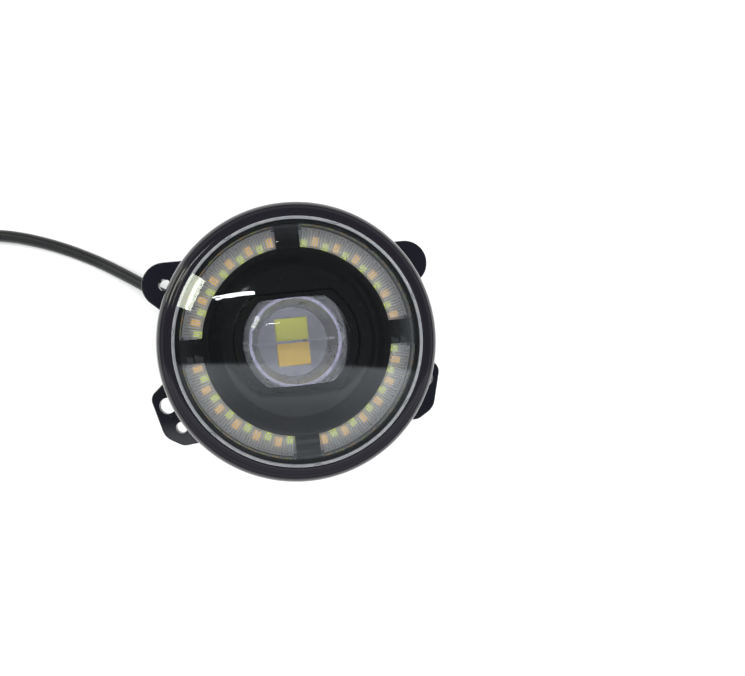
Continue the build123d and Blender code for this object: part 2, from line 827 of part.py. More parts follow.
def make_plug_body():
    start = plug_boot_length
    shell = Pos(0, 0, start) * Box(plug_width, plug_height, plug_length, align=ALIGN_LOW)
    shell = fillet(shell.edges().filter_by(Axis.Z), 2.4)
    shell = chamfer(shell.edges().group_by(Axis.Z)[0], 1.0)
    front = start + plug_length
    for x, y in plug_cells():
        shell -= disc(plug_mouth_r, front - plug_mouth_depth, front + 1, x, y)
    return plug_place() * (shell - Pos(0, 0, front - wedge_t) * extrude(wedge_outline(seat_gap), wedge_t + 1))


def wedge_outline(grow):
    columns, rows = plug_rows
    width = plug_pitch * (columns - 1) + plug_mouth_r * 2 + 1.6 + grow * 2
    height = plug_pitch * (rows - 1) + plug_mouth_r * 2 + 1.2 + grow * 2
    return RectangleRounded(width, height, 1.2 + grow)


def make_plug_wedge():
    front = plug_boot_length + plug_length
    plate = Pos(0, 0, front - wedge_t) * extrude(wedge_outline(0), wedge_t)
    for x, y in plug_cells():
        plate -= disc(plug_mouth_r - 0.4, front - wedge_t - 1, front + 1, x, y)
    return plug_place() * plate


def make_plug_latch():
    """The spring latch on top of the plug: a hinge foot, a raised arm and a thumb pad."""
    top = plug_height / 2
    start = plug_boot_length + 3
    end = plug_boot_length + plug_length - 2
    half = latch_width / 2
    arm = block((-half, half), (top + 1.2, top + 1.2 + latch_t), (start, end))
    foot = block((-half, half), (top, top + 1.2 + latch_t), (end - 4, end))
    pad = block((-half - 1, half + 1), (top + 1.2, top + 1.8 + latch_t), (start, start + 4))
    return plug_place() * (arm + foot + pad)


def make_plug_contacts():
    front = plug_boot_length + plug_length
    contacts = []
    for x, y in plug_cells():
        tube = ring(1.1, 0.7, front - plug_mouth_depth, front - wedge_t - 0.6, x, y)
        contacts.append(plug_place() * tube)
    return Compound(children=contacts)


os.makedirs("parts", exist_ok=True)
nodes = {
    "mounting_bracket": make_bracket(),
    "cable_grommet": make_grommet(),
    "lamp_housing": make_housing(),
    "front_bezel": make_bezel(),
    "outer_lens": make_outer_lens(),
    "lens_gasket": make_gasket(),
    "inner_trim": make_trim(),
    "halo_board": make_halo_board(),
    "halo_leds_amber": make_leds(True),
    "halo_leds_white": make_leds(False),
    "projector_lens": make_projector_lens(),
    "lens_holder": make_lens_holder(),
    "lens_retainer": make_lens_retainer(),
    "reflector_bowl": make_bowl(),
    "cutoff_shield": make_shield(),
    "emitter_board": make_emitter_board(),
    "emitter_white": make_emitter(1),
    "emitter_amber": make_emitter(-1),
    "holder_screws": make_holder_screws(),
    "emitter_board_screws": make_emitter_board_screws(),
    "heat_sink": make_heat_sink(),
    "rear_seal": make_rear_seal(),
    "heat_sink_screws": make_sink_screws(),
    "driver_board": make_driver_board(),
    "driver_components": make_driver_parts(),
    "driver_board_screws": make_driver_screws(),
    "vent_plug": make_vent_plug(),
    "cable_gland": make_gland(),
    "inner_lead": make_inner_lead(),
    "adjuster_screw": make_adjuster_screw(),
    "adjuster_clip": make_adjuster_clip(),
    "adjuster_nut": make_adjuster_nut(),
    "cable": make_cable(),
    "plug_boot": make_plug_boot(),
    "plug_body": make_plug_body(),
    "plug_wedge": make_plug_wedge(),
    "plug_latch": make_plug_latch(),
    "plug_contacts": make_plug_contacts(),
}
for quarter in range(4):
    nodes[f"halo_guide_{quarter + 1}"] = make_guide(quarter)

for name, solid in nodes.items():
    export_step(solid, f"parts/{name}.step")
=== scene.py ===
"""The looks of a round projector fog lamp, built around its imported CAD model. Metres throughout."""

import logging
from collections.abc import Callable, Iterable, Sequence
from dataclasses import dataclass
from enum import Enum
from functools import cache
from math import atan2, cos, hypot, pi, radians, sin, sqrt

import bmesh
import bpy
from mathutils import Matrix, Vector


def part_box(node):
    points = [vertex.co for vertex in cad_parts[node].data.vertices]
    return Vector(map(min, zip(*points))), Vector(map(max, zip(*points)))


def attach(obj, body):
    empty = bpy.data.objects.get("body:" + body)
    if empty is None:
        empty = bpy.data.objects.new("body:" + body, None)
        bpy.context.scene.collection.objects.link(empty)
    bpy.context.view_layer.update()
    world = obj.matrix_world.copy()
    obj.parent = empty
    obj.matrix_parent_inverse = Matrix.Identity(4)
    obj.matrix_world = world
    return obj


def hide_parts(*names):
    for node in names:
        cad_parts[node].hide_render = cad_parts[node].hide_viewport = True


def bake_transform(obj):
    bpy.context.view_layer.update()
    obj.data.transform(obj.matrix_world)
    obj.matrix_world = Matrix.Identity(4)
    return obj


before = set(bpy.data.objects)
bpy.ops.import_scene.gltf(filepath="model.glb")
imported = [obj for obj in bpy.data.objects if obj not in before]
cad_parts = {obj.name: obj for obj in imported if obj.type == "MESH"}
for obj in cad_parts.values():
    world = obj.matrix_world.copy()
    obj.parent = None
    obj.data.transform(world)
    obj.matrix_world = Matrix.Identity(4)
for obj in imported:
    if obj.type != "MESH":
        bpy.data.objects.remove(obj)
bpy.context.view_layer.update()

LOG = logging.getLogger("fog_lamp")

MERGE_DISTANCE = 1e-6
FLAT_ANGLE = 0.6  # degrees, under which neighbouring CAD facets count as one face
COPY_SHARP = 20.0  # degrees

Colour = tuple[float, float, float]
Point = tuple[float, float, float]
Corner = tuple[float, float]
Ring = Callable[[float], Corner]


class Body(Enum):
    """The rigid bodies that pieces ride on."""

    BRACKET = "bracket"
    LAMP = "lamp"


class LightRole(Enum):
    """Whether a studio light shows in glossy surfaces or only brightens the scene."""

    REFLECTED = True
    FILL = False


# ---------------------------------------------------------------- node graphs


class Value:
    """A node socket that takes part in arithmetic."""

    def __init__(self, graph: "Graph", socket: bpy.types.NodeSocket) -> None:
        """Keeps the socket and the graph it belongs to."""
        self.graph = graph
        self.socket = socket

    def __add__(self, other: "Value | float") -> "Value":
        """Sum."""
        return self.graph.maths("ADD", self, other)

    def __radd__(self, other: float) -> "Value":
        """Sum with a number on the left."""
        return self.graph.maths("ADD", other, self)

    def __sub__(self, other: "Value | float") -> "Value":
        """Difference."""
        return self.graph.maths("SUBTRACT", self, other)

    def __rsub__(self, other: float) -> "Value":
        """Difference from a number."""
        return self.graph.maths("SUBTRACT", other, self)

    def __mul__(self, other: "Value | float") -> "Value":
        """Product."""
        return self.graph.maths("MULTIPLY", self, other)


Setting = Value | float | int | bool | str | Sequence[float] | bpy.types.ID | None


class Graph:
    """Adds nodes to a shader or geometry tree."""

    def __init__(self, tree: bpy.types.NodeTree) -> None:
        """Works on the given node tree."""
        self.tree = tree

    def add(
        self, kind: str, output: int | str = 0, inputs: dict[int | str, Setting] | None = None, **settings
    ) -> Value:
        """Adds one node.

        Args:
            kind: the node's type name.
            output: the output socket that is wanted.
            inputs: values or links for its sockets, by name or number.
            settings: the node's own properties, set first.

        Returns:
            The wanted output, ready for arithmetic.
        """
        node = self.tree.nodes.new(kind)
        for name, value in settings.items():
            setattr(node, name, value)
        for key, value in (inputs or {}).items():
            self.feed(node.inputs[key], value)
        return Value(self, node.outputs[output])

    def feed(self, socket: bpy.types.NodeSocket, value: Setting) -> None:
        """Links a value to a socket, or sets the socket's own value."""
        if isinstance(value, Value):
            self.tree.links.new(value.socket, socket)
        else:
            socket.default_value = value

    def maths(self, operation: str, *values: "Value | float") -> Value:
        """One Math node."""
        return self.add("ShaderNodeMath", 0, dict(enumerate(values)), operation=operation)

    def parts(self, vector: Value) -> tuple[Value, Value, Value]:
        """The x, y and z of a vector."""
        first = self.add("ShaderNodeSeparateXYZ", 0, {0: vector})
        outputs = first.socket.node.outputs
        return first, Value(self, outputs[1]), Value(self, outputs[2])

    def smooth(self, value: Value, low: float, high: float) -> Value:
        """A smooth step from 0 at low to 1 at high."""
        inputs = {"Value": value, "From Min": low, "From Max": high}
        return self.add("ShaderNodeMapRange", 0, inputs, interpolation_type="SMOOTHSTEP")


class ShaderGraph(Graph):
    """The node graph of one material, with the few helpers that finishes share."""

    def place(self) -> Value:
        """Object coordinates, in metres."""
        return self.add("ShaderNodeTexCoord", "Object")

    def noise(self, vector: Value, scale: float, detail: float = 3.0, roughness: float = 0.55) -> Value:
        """A noise value around one half."""
        inputs = {"Vector": vector, "Scale": scale, "Detail": detail, "Roughness": roughness}
        return self.add("ShaderNodeTexNoise", 0, inputs)

    def stretched(self, vector: Value, scale: Point) -> Value:
        """Coordinates stretched along the axes."""
        return self.add("ShaderNodeMapping", 0, {"Vector": vector, "Scale": scale})

    def blend(self, factor: Value, low: Colour, high: Colour) -> Value:
        """A colour between two, by a factor."""
        inputs = {0: factor, 6: (*low, 1.0), 7: (*high, 1.0)}
        return self.add("ShaderNodeMix", 2, inputs, data_type="RGBA")

    def bump(self, height: Value, depth: float) -> Value:
        """A bumped normal; depth is in metres."""
        return self.add("ShaderNodeBump", 0, {"Height": height, "Distance": depth, "Strength": 1.0})

    def principled(self, **values: Setting) -> Value:
        """A Principled shader; an underscore in a name stands for a space."""
        inputs = {}
        for name, value in values.items():
            if isinstance(value, tuple) and len(value) == 3:
                value = (*value, 1.0)
            inputs[name.replace("_", " ")] = value
        return self.add("ShaderNodeBsdfPrincipled", 0, inputs)

    def mixed(self, factor: Value | float, first: Value, second: Value) -> Value:
        """A Mix Shader."""
        return self.add("ShaderNodeMixShader", 0, {0: factor, 1: first, 2: second})


# ---------------------------------------------------------------- finishes


@dataclass(frozen=True)
class Finish:
    """A surface finish; each kind builds its own shader."""

    name: str

    def surface(self, graph: ShaderGraph) -> Value:
        """Builds the finish's shader and returns its output."""
        raise NotImplementedError

    @cache
    def material(self) -> bpy.types.Material:
        """The finish's material, made once."""
        made = bpy.data.materials.new(f"{self.name}_finish")
        made.use_nodes = True
        made.node_tree.nodes.clear()
        graph = ShaderGraph(made.node_tree)
        output = made.node_tree.nodes.new("ShaderNodeOutputMaterial")
        graph.feed(output.inputs["Surface"], self.surface(graph))
        return made


@dataclass(frozen=True)
class Moulded(Finish):
    """Moulded plastic or rubber: slow gloss changes, fine grain, faint dust and hairline marks."""

    colour: Colour
    roughness: float
    spread: float = 0.08
    grain_scale: float = 2500.0
    grain_depth: float = 4e-6
    dust: float = 0.10
    dust_colour: Colour = (0.16, 0.16, 0.165)
    hairlines: float = 0.10
    coat: float = 0.0

    def surface(self, graph: ShaderGraph) -> Value:
        """Builds the plastic."""
        place = graph.place()
        mottle = graph.noise(place, 45.0, 4.0)
        specks = graph.smooth(graph.noise(place, 900.0, 2.0), 0.66, 0.78)
        streak = graph.noise(graph.stretched(place, (1.0, 0.06, 1.0)), 1400.0, 2.0)
        lines = graph.smooth(streak, 0.66, 0.72) * graph.smooth(mottle, 0.45, 0.62)
        rough = mottle * self.spread + (self.roughness - self.spread * 0.5) + lines * self.hairlines
        film = graph.smooth(mottle, 0.42, 0.75) * 0.35 + specks
        grain = graph.noise(place, self.grain_scale, 2.0)
        return graph.principled(
            Base_Color=graph.blend(film * self.dust, self.colour, self.dust_colour),
            Roughness=rough + specks * 0.2,
            Normal=graph.bump(grain, self.grain_depth),
            Coat_Weight=self.coat,
            Coat_Roughness=0.04,
        )


@dataclass(frozen=True)
class BezelFinish(Finish):
    """Satin black sides that turn to a polished, faintly violet front face."""

    colour: Colour
    front_colour: Colour
    front_low: float
    front_high: float

    def surface(self, graph: ShaderGraph) -> Value:
        """Builds the two-zone black."""
        place = graph.place()
        front = graph.smooth(graph.parts(place)[2], self.front_low, self.front_high)
        mottle = graph.noise(place, 60.0, 4.0)
        specks = graph.smooth(graph.noise(place, 1100.0, 2.0), 0.68, 0.8)
        grain = graph.noise(place, 1800.0, 3.0) * (1 - front)
        return graph.principled(
            Base_Color=graph.blend(front, self.colour, self.front_colour),
            Roughness=0.40 - front * 0.33 + mottle * 0.07 + specks * 0.15,
            Normal=graph.bump(grain, 1.4e-5),
            Specular_IOR_Level=0.4,
        )


@dataclass(frozen=True)
class TurnedGloss(Finish):
    """Piano black with fine concentric turning lines round the lamp's axis."""

    colour: Colour
    pitch: float
    depth: float
    roughness: float

    def surface(self, graph: ShaderGraph) -> Value:
        """Builds the turned gloss."""
        place = graph.place()
        x, y, _ = graph.parts(place)
        reach = graph.maths("SQRT", x * x + y * y)
        waver = graph.noise(place, 35.0, 2.0)
        rings = graph.maths("SINE", reach * (2 * pi / self.pitch) + waver * 3.0)
        strength = graph.smooth(graph.noise(place, 50.0, 3.0), 0.35, 0.7)
        specks = graph.smooth(graph.noise(place, 1300.0, 2.0), 0.70, 0.8)
        return graph.principled(
            Base_Color=graph.blend(specks * 0.5, self.colour, (0.2, 0.2, 0.2)),
            Roughness=strength * 0.05 + self.roughness + specks * 0.2,
            Normal=graph.bump(rings * strength, self.depth),
        )


@dataclass(frozen=True)
class ClearShell(Finish):
    """Thin clear plastic: what lies behind shows through, under a Fresnel reflection."""

    tint: Colour
    index: float = 1.58
    haze: float = 0.0

    def surface(self, graph: ShaderGraph) -> Value:
        """Builds the clear shell."""
        place = graph.place()
        smears = graph.smooth(graph.noise(place, 55.0, 4.0), 0.45, 0.8)
        clear = graph.add("ShaderNodeBsdfTransparent", 0, {"Color": (*self.tint, 1.0)})
        gloss = graph.principled(
            Base_Color=(0.9, 0.92, 0.95), Metallic=1.0, Roughness=smears * 0.05 + 0.012
        )
        fresnel = graph.add("ShaderNodeFresnel", 0, {"IOR": self.index})
        return graph.mixed(fresnel + smears * self.haze, clear, gloss)


@dataclass(frozen=True)
class FlutedClear(Finish):
    """Clear plastic with a whitish diffuse mixed in: more at grazing angles, as a painted highlight along its
    edges, and an even share as painted brightness.
    """

    tint: Colour
    painted_highlight_colour: Colour
    body: float
    edge: float

    def surface(self, graph: ShaderGraph) -> Value:
        """Builds the light guide."""
        place = graph.place()
        clear = graph.add("ShaderNodeBsdfTransparent", 0, {"Color": (*self.tint, 1.0)})
        cloud = graph.noise(place, 500.0, 3.0)
        painted_shine = graph.principled(
            Base_Color=graph.blend(cloud, self.painted_highlight_colour, (0.93, 0.92, 0.96)), Roughness=cloud * 0.1 + 0.05
        )
        # More whitish diffuse at grazing angles is a painted edge highlight; the even body share is painted
        # brightness.
        facing = graph.add("ShaderNodeLayerWeight", "Facing", {"Blend": 0.8})
        return graph.mixed(facing * self.edge + self.body, clear, painted_shine)


@dataclass(frozen=True)
class SolidGlass(Finish):
    """Refracting glass with a faint wipe mark."""

    tint: Colour
    index: float

    def surface(self, graph: ShaderGraph) -> Value:
        """Builds the glass."""
        wipe = graph.smooth(graph.noise(graph.place(), 70.0, 3.0), 0.5, 0.8)
        return graph.principled(
            Base_Color=self.tint, Roughness=wipe * 0.02, IOR=self.index, Transmission_Weight=1.0
        )


@dataclass(frozen=True)
class Phosphor(Finish):
    """A phosphor layer: grainy, with a painted glow so that it shows through the lens in front of it."""

    colour: Colour
    deep: Colour
    painted_glow: float

    def surface(self, graph: ShaderGraph) -> Value:
        """Builds the phosphor."""
        place = graph.place()
        grain = graph.noise(place, 3500.0, 3.0)
        colour = graph.blend(graph.smooth(grain, 0.3, 0.7), self.deep, self.colour)
        return graph.principled(
            Base_Color=colour,
            Roughness=grain * 0.2 + 0.3,
            Emission_Color=colour,
            Emission_Strength=self.painted_glow,
            Normal=graph.bump(grain, 1e-5),
            Specular_IOR_Level=0.12,
        )


@dataclass(frozen=True)
class Metal(Finish):
    """Bare or coated metal with a directional grain."""

    colour: Colour
    roughness: float
    stretch: Point = (1.0, 1.0, 0.08)
    scale: float = 900.0
    metallic: float = 1.0

    def surface(self, graph: ShaderGraph) -> Value:
        """Builds the metal."""
        place = graph.place()
        lines = graph.noise(graph.stretched(place, self.stretch), self.scale, 4.0)
        stain = graph.noise(place, 120.0, 4.0)
        darker = tuple(channel * 0.72 for channel in self.colour)
        return graph.principled(
            Base_Color=graph.blend(graph.smooth(stain, 0.35, 0.75), self.colour, darker),
            Metallic=self.metallic,
            Roughness=lines * 0.22 + (self.roughness - 0.11),
            Normal=graph.bump(lines, 3e-6),
        )


@dataclass(frozen=True)
class CircuitBoard(Finish):
    """Solder mask with copper tracks under it and tinned pads."""

    mask: Colour
    track: Colour
    pads: Colour = (0.62, 0.62, 0.6)

    def surface(self, graph: ShaderGraph) -> Value:
        """Builds the board's face."""
        place = graph.place()
        cells = {"Vector": place, "Scale": 260.0, "Randomness": 0.75}
        edge = graph.add("ShaderNodeTexVoronoi", 0, cells, feature="DISTANCE_TO_EDGE")
        dots = graph.add("ShaderNodeTexVoronoi", 0, {**cells, "Scale": 420.0}, feature="F1")
        tracks = 1 - graph.smooth(edge, 0.03, 0.06)
        pad = 1 - graph.smooth(dots, 0.10, 0.14)
        base = graph.blend(tracks, self.mask, self.track)
        inputs = {0: pad, 6: base, 7: (*self.pads, 1.0)}
        return graph.principled(
            Base_Color=graph.add("ShaderNodeMix", 2, inputs, data_type="RGBA"),
            Metallic=pad * 0.9,
            Roughness=0.42 - pad * 0.15,
            Normal=graph.bump(tracks + pad, 2e-5),
        )


@dataclass(frozen=True)
class PaleFloor(Finish):
    """The plain pale table top."""

    colour: Colour

    def surface(self, graph: ShaderGraph) -> Value:
        """Builds the table top."""
        cloud = graph.noise(graph.place(), 3.0, 2.0)
        paler = tuple(min(channel * 1.02, 1.0) for channel in self.colour)
        return graph.principled(
            Base_Color=graph.blend(cloud, self.colour, paler), Roughness=0.7, Specular_IOR_Level=0.2
        )


GLOSS_BLACK = Moulded("gloss_black", (0.0075, 0.0080, 0.0125), 0.07, 0.05, 500.0, 2.5e-6, 0.05, coat=0.5)
SATIN_BLACK = Moulded("satin_black", (0.0115, 0.0115, 0.0125), 0.36, 0.08, 1800.0, 9e-6, 0.07)
BEZEL_BLACK = BezelFinish("bezel_black", (0.0105, 0.0105, 0.0115), (0.012, 0.0105, 0.015), 0.0885, 0.0897)
PIANO_BLACK = TurnedGloss("piano_black", (0.0045, 0.0047, 0.0052), 4.2e-4, 2.2e-6, 0.05)
PLAIN_BLACK = Moulded("component_black", (0.014, 0.014, 0.015), 0.42, 0.08, 2200.0, 8e-6, 0.1)
RUBBER = Moulded("black_rubber", (0.016, 0.016, 0.017), 0.55, 0.1, 1500.0, 1.5e-5, 0.16, hairlines=0.05)
JACKET = Moulded("cable_jacket", (0.010, 0.010, 0.011), 0.40, 0.1, 1200.0, 1.2e-5, 0.12, hairlines=0.06)
ORANGE = Moulded("wedge_orange", (0.62, 0.16, 0.02), 0.38, 0.08, 2500.0, 6e-6, 0.05, (0.7, 0.5, 0.4))
NATURAL = Moulded("natural_acetal", (0.62, 0.60, 0.54), 0.35, 0.08, 2500.0, 6e-6, 0.05, (0.5, 0.5, 0.45))
CLEAR = ClearShell("clear_lens", (0.975, 0.985, 0.99), 1.55, 0.012)
# A whitish ring that paints the glint of the lens's edge.
PAINTED_RIM_GLINT = FlutedClear("lens_rim", (0.9, 0.92, 0.95), (0.50, 0.52, 0.53), 0.34, 0.50)
# The guides' whitish edges are a painted highlight over clear plastic.
GUIDE = FlutedClear("halo_guide", (0.99, 0.99, 1.0), (0.90, 0.91, 1.0), 0.04, 0.70)
GLASS = SolidGlass("projector_glass", (0.96, 0.96, 0.99), 1.5)
# The emission of these four is a painted glow, standing in for light that the glass and guides keep from
# them.
YELLOW = Phosphor("phosphor_yellow", (0.44, 0.43, 0.02), (0.32, 0.32, 0.01), 0.30)
AMBER = Phosphor("phosphor_amber", (0.55, 0.35, 0.005), (0.42, 0.25, 0.005), 0.32)
LED_YELLOW = Phosphor("led_yellow", (0.66, 0.76, 0.0), (0.52, 0.62, 0.0), 0.75)
LED_AMBER = Phosphor("led_amber", (0.88, 0.52, 0.0), (0.76, 0.40, 0.0), 0.75)
# The bowl is chrome; its lavender tint is a painted reflection of the lavender-white board.
CHROME_PAINTED_REFLECTION = Metal("reflector_chrome", (0.13, 0.12, 0.17), 0.30, scale=500.0)
PLATE = Moulded("lavender_plate", (0.088, 0.082, 0.125), 0.40, 0.1, 900.0, 4e-6, 0.2, (0.2, 0.2, 0.25))
STEEL = Metal("bright_steel", (0.58, 0.58, 0.57), 0.30)
BRASS = Metal("contact_brass", (0.78, 0.60, 0.30), 0.28)
COATED = Metal("coated_aluminium", (0.035, 0.035, 0.038), 0.50, (1.0, 1.0, 1.0), 1500.0, 0.15)
WHITE_BOARD = CircuitBoard("white_board", (0.76, 0.78, 0.95), (0.68, 0.70, 0.88), (0.80, 0.82, 0.90))
GREEN_BOARD = CircuitBoard("green_board", (0.010, 0.10, 0.035), (0.02, 0.17, 0.06))
FLOOR = PaleFloor("pale_floor", (0.93, 0.93, 0.93))


# ---------------------------------------------------------------- meshes


def arc_points(centre: Corner, radius: float, start: float, end: float, count: int) -> list[Corner]:
    """Points along an arc in the (radius, height) plane; angles in degrees."""
    points = []
    for step in range(count + 1):
        angle = radians(start + (end - start) * step / count)
        points.append((centre[0] + radius * cos(angle), centre[1] + radius * sin(angle)))
    return points


def cap_points(edge_r: float, edge_z: float, sag: float, count: int) -> list[Corner]:
    """A spherical cap's section, from its apex on the axis down to its edge."""
    ball = (edge_r**2 + sag**2) / (2 * sag)
    points = []
    for step in range(count + 1):
        reach = edge_r * step / count
        points.append((reach, edge_z + sag - ball + sqrt(ball**2 - reach**2)))
    return points


def fixed(corner: Corner) -> Ring:
    """A ring that is a true circle."""
    return lambda angle: corner


def flatted(radius: float, flat: float, height: float) -> Ring:
    """A circle cut by two flats above and below, at one height."""
    return lambda angle: (min(radius, flat / max(abs(sin(angle)), 1e-6)), height)


def bridged(part: bmesh.types.BMesh, loops: Sequence[Sequence[bmesh.types.BMVert]]) -> None:
    """Joins each closed loop of vertices to the next one with quads."""
    for loop, beside in zip(loops, loops[1:]):
        for step in range(len(loop)):
            after = (step + 1) % len(loop)
            part.faces.new((loop[step], beside[step], beside[after], loop[after]))


class MeshMaker:
    """Collects closed shapes into one mesh."""

    def __init__(self) -> None:
        """Starts empty."""
        self.shape = bmesh.new()

    def take(self, part: bmesh.types.BMesh, place: Matrix | None = None) -> "MeshMaker":
        """Turns a part's faces outwards and adds it, moved if a place is given."""
        bmesh.ops.remove_doubles(part, verts=part.verts, dist=1e-7)
        bmesh.ops.recalc_face_normals(part, faces=part.faces)
        if place is not None:
            part.transform(place)
        mesh = bpy.data.meshes.new("part")
        part.to_mesh(mesh)
        part.free()
        self.shape.from_mesh(mesh)
        bpy.data.meshes.remove(mesh)
        return self

    def turned(self, rings: Sequence[Ring], steps: int = 192, place: Matrix | None = None) -> "MeshMaker":
        """Joins rings round Z into a closed shape, the last one back to the first."""
        part = bmesh.new()
        columns = []
        for step in range(steps):
            angle = 2 * pi * step / steps
            column = []
            for ring in rings:
                reach, height = ring(angle)
                column.append(part.verts.new((reach * cos(angle), reach * sin(angle), height)))
            columns.append(column)
        bridged(part, columns + columns[:1])
        return self.take(part, place)

    def lathe(self, section: Iterable[Corner], steps: int = 192, place: Matrix | None = None) -> "MeshMaker":
        """Turns a closed (radius, height) section about Z."""
        return self.turned([fixed(corner) for corner in section], steps, place)

    def sector(self, section: Sequence[Corner], start: float, end: float, steps: int) -> "MeshMaker":
        """Turns a closed section about Z from one angle to another, in radians, with end faces."""
        part = bmesh.new()
        columns = []
        for step in range(steps + 1):
            angle = start + (end - start) * step / steps
            columns.append([part.verts.new((r * cos(angle), r * sin(angle), z)) for r, z in section])
        bridged(part, columns)
        part.faces.new(columns[0])
        part.faces.new(columns[-1])
        return self.take(part)

    def block(self, low: Point, high: Point, bevel: float, place: Matrix | None = None) -> "MeshMaker":
        """A bevelled block."""
        part = bmesh.new()
        bmesh.ops.create_cube(part, size=1.0)
        size = [b - a for a, b in zip(low, high)]
        middle = [(a + b) / 2 for a, b in zip(low, high)]
        part.transform(Matrix.Translation(middle) @ Matrix.Diagonal((*size, 1.0)))
        if bevel > 0:
            bmesh.ops.bevel(part, geom=part.edges[:], offset=bevel, segments=2, profile=0.5, affect="EDGES")
        return self.take(part, place)

    def slot_stack(self, length: float, width: float, layers: Sequence[Corner]) -> "MeshMaker":
        """A round-ended pad along X; each layer is (inset, height) and the last one is capped."""
        part = bmesh.new()
        end_points = 7
        rows = []
        for inset, height in layers:
            radius = width / 2 - inset
            shift = length / 2 - width / 2
            row = []
            for step in range(2 * end_points):
                angle = -pi / 2 + pi * (step % end_points) / (end_points - 1)
                side = 1 if step < end_points else -1
                x = side * (shift + radius * cos(angle))
                row.append(part.verts.new((x, side * radius * sin(angle), height)))
            rows.append(row)
        bridged(part, rows)
        part.faces.new(rows[-1])
        part.faces.new(rows[0])
        return self.take(part)

    def piece(self, name: str, finish: Finish, sharp: float = 32.0) -> bpy.types.Object:
        """Ends the mesh as an object, smooth except at edges sharper than the given angle.

        Args:
            name: the piece's name.
            finish: its surface.
            sharp: the angle in degrees past which an edge stays crisp.

        Returns:
            The new object, linked to the scene.
        """
        mesh = bpy.data.meshes.new(name)
        self.shape.to_mesh(mesh)
        self.shape.free()
        return linked(mesh, name, finish, sharp)


def placed(name: str, data: bpy.types.ID) -> bpy.types.Object:
    """A new object in the scene."""
    made = bpy.data.objects.new(name, data)
    bpy.context.scene.collection.objects.link(made)
    return made


def linked(mesh: bpy.types.Mesh, name: str, finish: Finish, sharp: float) -> bpy.types.Object:
    """Shades a mesh, gives it its finish and links an object for it."""
    mesh.shade_smooth()
    mesh.set_sharp_from_angle(angle=radians(sharp))
    mesh.materials.clear()
    mesh.materials.append(finish.material())
    return placed(name, mesh)


def smooth_copy(node: str, name: str, finish: Finish) -> bpy.types.Object:
    """A copy of a CAD node's mesh, merged and shaded smoothly over its rounds."""
    shape = bmesh.new()
    shape.from_mesh(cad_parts[node].data)
    bmesh.ops.remove_doubles(shape, verts=shape.verts, dist=MERGE_DISTANCE)
    bmesh.ops.dissolve_limit(shape, angle_limit=radians(FLAT_ANGLE), verts=shape.verts, edges=shape.edges)
    mesh = bpy.data.meshes.new(name)
    shape.to_mesh(mesh)
    shape.free()
    piece = linked(mesh, name, finish, COPY_SHARP)
    weigh = piece.modifiers.new("weigh_normals", "WEIGHTED_NORMAL")
    weigh.keep_sharp = True
    return piece


def plain_mesh(source: bpy.types.Object) -> bpy.types.Mesh:
    """The evaluated object as a plain mesh."""
    bpy.context.view_layer.update()
    return bpy.data.meshes.new_from_object(source.evaluated_get(bpy.context.evaluated_depsgraph_get()))


def seat(piece: bpy.types.Object, body: Body, slot: str, *nodes: str) -> bpy.types.Object:
    """Puts a piece on its body, hides the CAD nodes it stands for and logs them."""
    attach(piece, body.value)
    if nodes:
        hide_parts(*nodes)
    LOG.info("piece %s on %s for %s", piece.name, body.value, ", ".join(nodes) or "no node")
    return piece


@dataclass
class RingRepeat:
    """Geometry nodes that set copies of one shape round the lamp's axis and join them to a base."""

    count: int
    reach: float
    height: float
    start: float
    step: float

    def tree(self) -> bpy.types.NodeTree:
        """The node tree, built once."""
        made = bpy.data.node_groups.get("ring_repeat")
        if made is not None:
            return made
        made = bpy.data.node_groups.new("ring_repeat", "GeometryNodeTree")
        face = made.interface
        face.new_socket(name="Geometry", in_out="OUTPUT", socket_type="NodeSocketGeometry")
        face.new_socket(name="Base", in_out="INPUT", socket_type="NodeSocketGeometry")
        kinds = {"Count": "Int", "Reach": "Float", "Height": "Float", "Start": "Float", "Step": "Float"}
        kinds |= {"Shape": "Object", "Finish": "Material"}
        for name, kind in kinds.items():
            face.new_socket(name=name, in_out="INPUT", socket_type=f"NodeSocket{kind}")
        graph = Graph(made)
        given = made.nodes.new("NodeGroupInput")
        size = {name: Value(graph, given.outputs[name]) for name in kinds}
        angle = graph.add("GeometryNodeInputIndex") * size["Step"] + size["Start"]
        x = graph.maths("COSINE", angle) * size["Reach"]
        y = graph.maths("SINE", angle) * size["Reach"]
        at = graph.add("ShaderNodeCombineXYZ", 0, {0: x, 1: y, 2: size["Height"]})
        points = graph.add("GeometryNodePoints", 0, {"Count": size["Count"], "Position": at})
        turn = graph.add("ShaderNodeCombineXYZ", 0, {2: angle})
        turn = graph.add("FunctionNodeEulerToRotation", 0, {0: turn})
        shape = graph.add("GeometryNodeObjectInfo", "Geometry", {"Object": size["Shape"]})
        inputs = {"Points": points, "Instance": shape, "Rotation": turn}
        copies = graph.add("GeometryNodeInstanceOnPoints", 0, inputs)
        join = made.nodes.new("GeometryNodeJoinGeometry")
        made.links.new(copies.socket, join.inputs[0])
        made.links.new(given.outputs["Base"], join.inputs[0])
        real = graph.add("GeometryNodeRealizeInstances", 0, {0: Value(graph, join.outputs[0])})
        dressed = graph.add("GeometryNodeSetMaterial", 0, {0: real, "Material": size["Finish"]})
        ends = made.nodes.new("NodeGroupOutput")
        made.links.new(dressed.socket, ends.inputs[0])
        return made

    def onto(self, base: bpy.types.Object, shape: bpy.types.Object, finish: Finish) -> bpy.types.Object:
        """Adds the copies to a base piece and leaves it a plain mesh; the shape is used up."""
        repeat = base.modifiers.new("repeat", "NODES")
        repeat.node_group = self.tree()
        values = {"Count": self.count, "Reach": self.reach, "Height": self.height, "Start": self.start}
        values |= {"Step": self.step, "Shape": shape, "Finish": finish.material()}
        for item in repeat.node_group.interface.items_tree:
            if item.in_out == "INPUT" and item.name in values:
                repeat[item.identifier] = values[item.name]
        mesh = plain_mesh(base)
        base.modifiers.clear()
        base.data = mesh
        base.data.name = base.name
        bpy.data.objects.remove(shape, do_unlink=True)
        return base


# ---------------------------------------------------------------- cable


